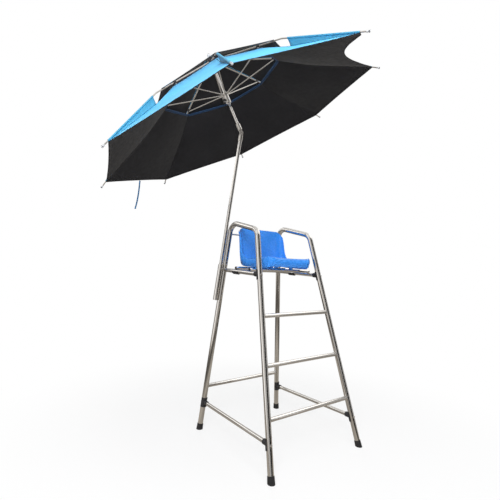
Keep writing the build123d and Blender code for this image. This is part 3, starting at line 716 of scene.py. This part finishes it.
def end_loop(node, along, sign, radius):
    """Outer edge of a tube's end, in order round it; along is the axis it runs on, 0 for X and 1 for Y."""
    low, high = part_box(node)
    cross = [a for a in (0, 1, 2) if a != along]
    ends = [v.co for v in nodes[node].data.vertices if sign * (v.co[along] - (low[along] + high[along]) / 2) > 0]
    middle = [sum(p[a] for p in ends) / len(ends) for a in cross]
    best = {}
    for p in ends:
        dx, dy = p[cross[0]] - middle[0], p[cross[1]] - middle[1]
        if math.hypot(dx, dy) > radius * LOOP_LEAST:
            key = round(math.atan2(dy, dx) / (2 * math.pi) * LOOP_PARTS) % LOOP_PARTS
            if key not in best or sign * p[along] > sign * best[key][along]:
                best[key] = p.copy()
    return [best[key] for key in sorted(best)]


# Legs: x at the foot and its change up to the bend, the same for y, and the bend's height
FRONT_LEG = (0.460, -0.171, -0.447, 0.495, 1.619)
REAR_LEG = (0.424, -0.135, 0.447, -0.044, 1.681)


def on_leg(leg, side, height):
    """Point on a leg's centre line; side is -1 for left and 1 for right."""
    foot_x, run_x, foot_y, run_y, top = leg
    return Vector((side * (foot_x + run_x * height / top), foot_y + run_y * height / top, height))


# Welds round the ends of the cross tubes and the rear ends of the seat rails
WELD_RADIUS, WELD_SIDES, WELD_FEWEST = 0.0026, 8, 8
WELD_WOBBLE, WOBBLE_STEP = 0.0004, 2.3
STEP_RADIUS, RAIL_RADIUS = 0.015, 0.015
WELDED = [("lower_step", STEP_RADIUS), ("middle_step", STEP_RADIUS), ("upper_step", STEP_RADIUS),
          ("rear_rung", STEP_RADIUS), ("rear_seat_rail", 0.0125), ("back_rod", 0.007)]
beads = [end_loop(node, 0, sign, radius) for node, radius in WELDED for sign in (-1, 1)]
beads += [end_loop(node, 1, 1, RAIL_RADIUS) for node in ("left_seat_rail", "right_seat_rail")]
beads = [[p + Vector((0, 0, WELD_WOBBLE * math.sin(k * WOBBLE_STEP))) for k, p in enumerate(loop)]
         for loop in beads if len(loop) >= WELD_FEWEST]
tube("weld_beads", beads, WELD_RADIUS, WELD_SIDES, WELD, "chair", closed=True)

# Bolts of the saddles, on the outer face of the legs
BOLT_PROFILE = [(0.0100, 0.0), (0.0100, 0.0012), (0.0094, 0.0018), (0.0072, 0.0018), (0.0072, 0.0050),
                (0.0060, 0.0066), (0.0036, 0.0074), (0.0012, 0.0077)]
STRETCHER_Z, SEAT_RAIL_Z, LEG_FACE = 0.215, 1.288, 0.0209
bolt_spots = []
for side in (-1, 1):
    for near, far, height in ((FRONT_LEG, REAR_LEG, STRETCHER_Z), (FRONT_LEG, REAR_LEG, SEAT_RAIL_Z),
                              (REAR_LEG, FRONT_LEG, STRETCHER_Z)):
        way = (on_leg(far, side, height) - on_leg(near, side, height)).normalized()
        bolt_spots.append((on_leg(near, side, height) - way * LEG_FACE, -way))
turned("saddle_bolts", bolt_spots, BOLT_PROFILE, BOLT_SIDES, [STEEL], "chair")

# Tips of the ribs: a rod with a collar and a dark ring near its end
TIP_PROFILE = [(0.0058, 0.0), (0.0078, 0.0006), (0.0080, 0.0040), (0.0066, 0.0055), (0.0060, 0.0070),
               (0.0060, 0.0150), (0.0079, 0.0160), (0.0080, 0.0190), (0.0070, 0.0212), (0.0050, 0.0230),
               (0.0020, 0.0240)]
TIP_RINGS = [0, 0, 0, 0, 0, 1, 1, 1, 0, 0]
TIP_START = 0.021
TIP_WAY = Vector((TIP_REACH - KINK_REACH, 0, -KINK_RISE)).normalized()
tip_spots = []
for turns in range(RIBS):
    way = (radial(turns) * TIP_WAY.x + UP * TIP_WAY.z).normalized()
    tip_spots.append((MIDDLE + radial(turns) * TIP_REACH - way * TIP_START, way))
tip_caps = turned("rib_tip_caps", tip_spots, TIP_PROFILE, TIP_SIDES, [TIP, PLASTIC], "canopy",
                  TIP_RINGS)
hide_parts("rib_tips")

# Pivot pins of the umbrella's stretchers, in the runner's flange and in the rib clips
PIN_PROFILE = [(0.0020, 0.0), (0.0030, 0.0006), (0.0030, 0.0018), (0.0018, 0.0022), (0.0018, 0.0108),
               (0.0030, 0.0112), (0.0030, 0.0124), (0.0020, 0.0130)]
PIN_HALF, FLANGE_REACH, FLANGE_RISE = 0.0065, 0.031, 0.299
CLIP_UNDER_RIB, CLIP_INWARD = -0.0125, -0.0045
pin_spots = []
for turns in range(RIBS):
    side = across_rib(turns)
    foot = MIDDLE + radial(turns) * FLANGE_REACH + UP * FLANGE_RISE
    head = rib_point(turns, JOINT_REACH, CLIP_UNDER_RIB) + radial(turns) * CLIP_INWARD
    pin_spots += [(foot - side * PIN_HALF, side), (head - side * PIN_HALF, side)]
turned("stretcher_pins", pin_spots, PIN_PROFILE, PIN_SIDES, [RIB], "canopy")

# Black plugs in the open ends of the seat bearers
PLUG_PROFILE = [(0.0098, 0.0), (0.0102, 0.0080), (0.0118, 0.0081), (0.0119, 0.0098), (0.0106, 0.0110),
                (0.0060, 0.0117), (0.0010, 0.0119)]
PLUG_INSIDE = 0.008
plug_spots = []
for node in BEARERS:
    low, high = (Vector(c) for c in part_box(node))
    middle = (low + high) / 2
    for sign in (-1, 1):
        end = Vector((high.x if sign > 0 else low.x, middle.y, middle.z))
        plug_spots.append((end - Vector((sign * PLUG_INSIDE, 0, 0)), Vector((sign, 0, 0))))
turned("bearer_plugs", plug_spots, PLUG_PROFILE, PLUG_SIDES, [PLASTIC], "chair")


# Camera

CAMERA_AT = (-2.2418, -2.2473, 1.4429)
az, el, roll = math.radians(-39.539), math.radians(-0.361), math.radians(3.700)
back = Vector((math.sin(az) * math.cos(el), -math.cos(az) * math.cos(el), math.sin(el)))
right = Vector((math.cos(az), math.sin(az), 0))
up = back.cross(right)
turned_right = right * math.cos(roll) + up * math.sin(roll)
turned_up = up * math.cos(roll) - right * math.sin(roll)
lens = bpy.data.cameras.new("camera")
lens.sensor_width = 36
lens.lens = 28.8
lens.clip_start, lens.clip_end = 0.05, 200
camera = bpy.data.objects.new("camera", lens)
axes = Matrix((turned_right, turned_up, back)).transposed()
camera.matrix_world = Matrix.Translation(CAMERA_AT) @ axes.to_4x4()
scene.collection.objects.link(camera)
scene.camera = camera


# World: white where it is seen or mirrored, a weak cool fill for the rest

FILL_COLOUR, FILL_STRENGTH = (0.93, 0.96, 1.0, 1), 0.24

world = bpy.data.worlds.new("studio")
scene.world = world
world.use_nodes = True
tree = world.node_tree
tree.nodes.clear()
out = add_node(tree, "ShaderNodeOutputWorld")
seen = add_node(tree, "ShaderNodeBackground")
put(seen, Color=WHITE)
fill = add_node(tree, "ShaderNodeBackground")
put(fill, Color=FILL_COLOUR, Strength=FILL_STRENGTH)
rays = add_node(tree, "ShaderNodeLightPath")
first = add_node(tree, "ShaderNodeMath", operation="MAXIMUM")
second = add_node(tree, "ShaderNodeMath", operation="MAXIMUM")
mix = add_node(tree, "ShaderNodeMixShader")
for a, b in (
    (rays.outputs["Is Camera Ray"], first.inputs[0]), (rays.outputs["Is Glossy Ray"], first.inputs[1]),
    (first.outputs[0], second.inputs[0]), (rays.outputs["Is Transmission Ray"], second.inputs[1]),
    (second.outputs[0], mix.inputs["Fac"]), (fill.outputs[0], mix.inputs[1]), (seen.outputs[0], mix.inputs[2]),
    (mix.outputs[0], out.inputs["Surface"]),
):
    tree.links.new(a, b)


# Floor: keeps the shadow near the feet, fades to white for the camera, and shows grey bands in reflections

FLOOR_HALF, FLOOR_ROUGH, FLOOR_COLOUR = 60, 0.9, (0.86, 0.86, 0.86, 1)
FADE_START, FADE_END, FADE_LEAST = 0.9, 2.6, 0.80
FLOOR_BANDS = [(0.03, 0.30), (0.12, 0.50), (0.20, 0.34), (0.34, 0.10), (0.60, 0.12), (0.90, 0.70)]
BANDS_END, BAND_GREEN, BAND_BLUE = 8.0, 0.91, 0.79


def plane(name, corners, mat):
    mesh = bpy.data.meshes.new(name)
    mesh.from_pydata(corners, [], [(0, 1, 2, 3)])
    mesh.materials.append(mat)
    made = bpy.data.objects.new(name, mesh)
    scene.collection.objects.link(made)
    return made


ground = bpy.data.materials.new("floor")
ground.use_nodes = True
tree = ground.node_tree
base = tree.nodes["Principled BSDF"]
put(base, Base_Color=FLOOR_COLOUR, Roughness=FLOOR_ROUGH)
glow = add_node(tree, "ShaderNodeEmission")
put(glow, Color=WHITE)
where = add_node(tree, "ShaderNodeTexCoord")
far = add_node(tree, "ShaderNodeVectorMath", operation="LENGTH")
fade = add_node(tree, "ShaderNodeMapRange", interpolation_type="SMOOTHSTEP")
put(fade, From_Min=FADE_START, From_Max=FADE_END, To_Min=FADE_LEAST)
rays = add_node(tree, "ShaderNodeLightPath")
shown_white = add_node(tree, "ShaderNodeMath", operation="MULTIPLY")
both = add_node(tree, "ShaderNodeMixShader")
span = add_node(tree, "ShaderNodeMapRange")
put(span, From_Max=BANDS_END)
bands = add_node(tree, "ShaderNodeValToRGB")
set_stops(bands, [(spot, (level, level * BAND_GREEN, level * BAND_BLUE)) for spot, level in FLOOR_BANDS])
warm = add_node(tree, "ShaderNodeEmission")
mirrored = add_node(tree, "ShaderNodeMixShader")
for a, b in (
    (where.outputs["Object"], far.inputs[0]), (far.outputs["Value"], fade.inputs["Value"]),
    (fade.outputs["Result"], shown_white.inputs[0]), (rays.outputs["Is Camera Ray"], shown_white.inputs[1]),
    (shown_white.outputs["Value"], both.inputs["Fac"]), (base.outputs[0], both.inputs[1]),
    (glow.outputs[0], both.inputs[2]), (far.outputs["Value"], span.inputs["Value"]),
    (span.outputs["Result"], bands.inputs["Fac"]), (bands.outputs["Color"], warm.inputs["Color"]),
    (rays.outputs["Is Glossy Ray"], mirrored.inputs["Fac"]), (both.outputs[0], mirrored.inputs[1]),
    (warm.outputs[0], mirrored.inputs[2]), (mirrored.outputs[0], tree.nodes["Material Output"].inputs["Surface"]),
):
    tree.links.new(a, b)
size = FLOOR_HALF
floor = plane("floor", [(-size, -size, 0), (size, -size, 0), (size, size, 0), (-size, size, 0)], ground)


# Lights: name, place, aim, size in metres, power in watts; reflections see the cards below instead

LIGHTS = [
    ("key", (-3.6, -3.1, 3.9), (0, 0.1, 1.4), (2.4, 2.0), 235),
    ("top", (-1.2, -1.2, 7.0), (-0.4, 0.4, 2.4), (3.0, 3.0), 185),
    ("front", (-1.2, -4.6, 3.0), (0, 0.1, 1.5), (1.2, 1.2), 40),
    ("fill", (3.4, -3.4, 2.4), (0, 0, 1.3), (1.6, 1.6), 14),
    ("rim", (2.4, 4.2, 3.0), (0, 0, 1.3), (2.5, 2.0), 60),
]
for name, place, aim, size, power in LIGHTS:
    lamp = bpy.data.lights.new(name, "AREA")
    lamp.shape = "RECTANGLE"
    lamp.size, lamp.size_y = size
    lamp.energy = power
    made = bpy.data.objects.new(name, lamp)
    made.location = place
    made.rotation_mode = "QUATERNION"
    made.rotation_quaternion = (Vector(aim) - Vector(place)).to_track_quat("-Z", "Y")
    made.visible_glossy = False
    scene.collection.objects.link(made)


# Studio cards that only reflections see

def card_plane(name, corners, level):
    paint = bpy.data.materials.new(name)
    paint.use_nodes = True
    paint.node_tree.nodes.clear()
    lit = add_node(paint.node_tree, "ShaderNodeEmission")
    put(lit, Color=tuple(level) + (1,))
    end = add_node(paint.node_tree, "ShaderNodeOutputMaterial")
    paint.node_tree.links.new(lit.outputs[0], end.inputs["Surface"])
    made = plane(name, corners, paint)
    made.visible_camera = made.visible_diffuse = made.visible_shadow = False
    made.visible_transmission = made.visible_volume_scatter = False


def card(name, turn, width, level, near=7.0, low=-1.0, high=9.0):
    """Upright card; turn is from the camera's side, to its right, and turn and width are in degrees."""
    away = back * math.cos(math.radians(turn)) + right * math.sin(math.radians(turn))
    away.z = 0
    away.normalize()
    across = Vector((-away.y, away.x, 0)) * (near * math.tan(math.radians(width / 2)))
    bottom, top = away * near + Vector((0, 0, low)), away * near + Vector((0, 0, high))
    card_plane(name, [bottom - across, bottom + across, top + across, top - across], level)


CEILING = [(-3.5, -3.0, 8.0), (3.5, -3.0, 8.0), (3.5, 5.0, 8.0), (-3.5, 5.0, 8.0)]
CARDS = [
    (-162, 26, 0.34), (-134, 22, 0.62), (-108, 24, 0.30), (-84, 20, 0.26), (-56, 28, 1.25), (-22, 30, 0.60),
    (8, 26, 0.30), (50, 54, 0.0), (90, 16, 0.46), (112, 24, 0.30), (140, 26, 0.62), (170, 26, 0.80),
]
CARD_GREEN, CARD_BLUE = 0.965, 0.925
card_plane("card_ceiling", CEILING, (0.95, 0.93, 0.90))
card("card_steps", 120, 60, (2.1, 2.04, 1.96), 5.0, 4.4, 7.8)
card("card_stretchers", -108, 50, (1.7, 1.65, 1.58), 5.0, 3.0, 5.2)
for number, (turn, width, level) in enumerate(CARDS):
    card(f"card_{number}", turn, width, (level, level * CARD_GREEN, level * CARD_BLUE))
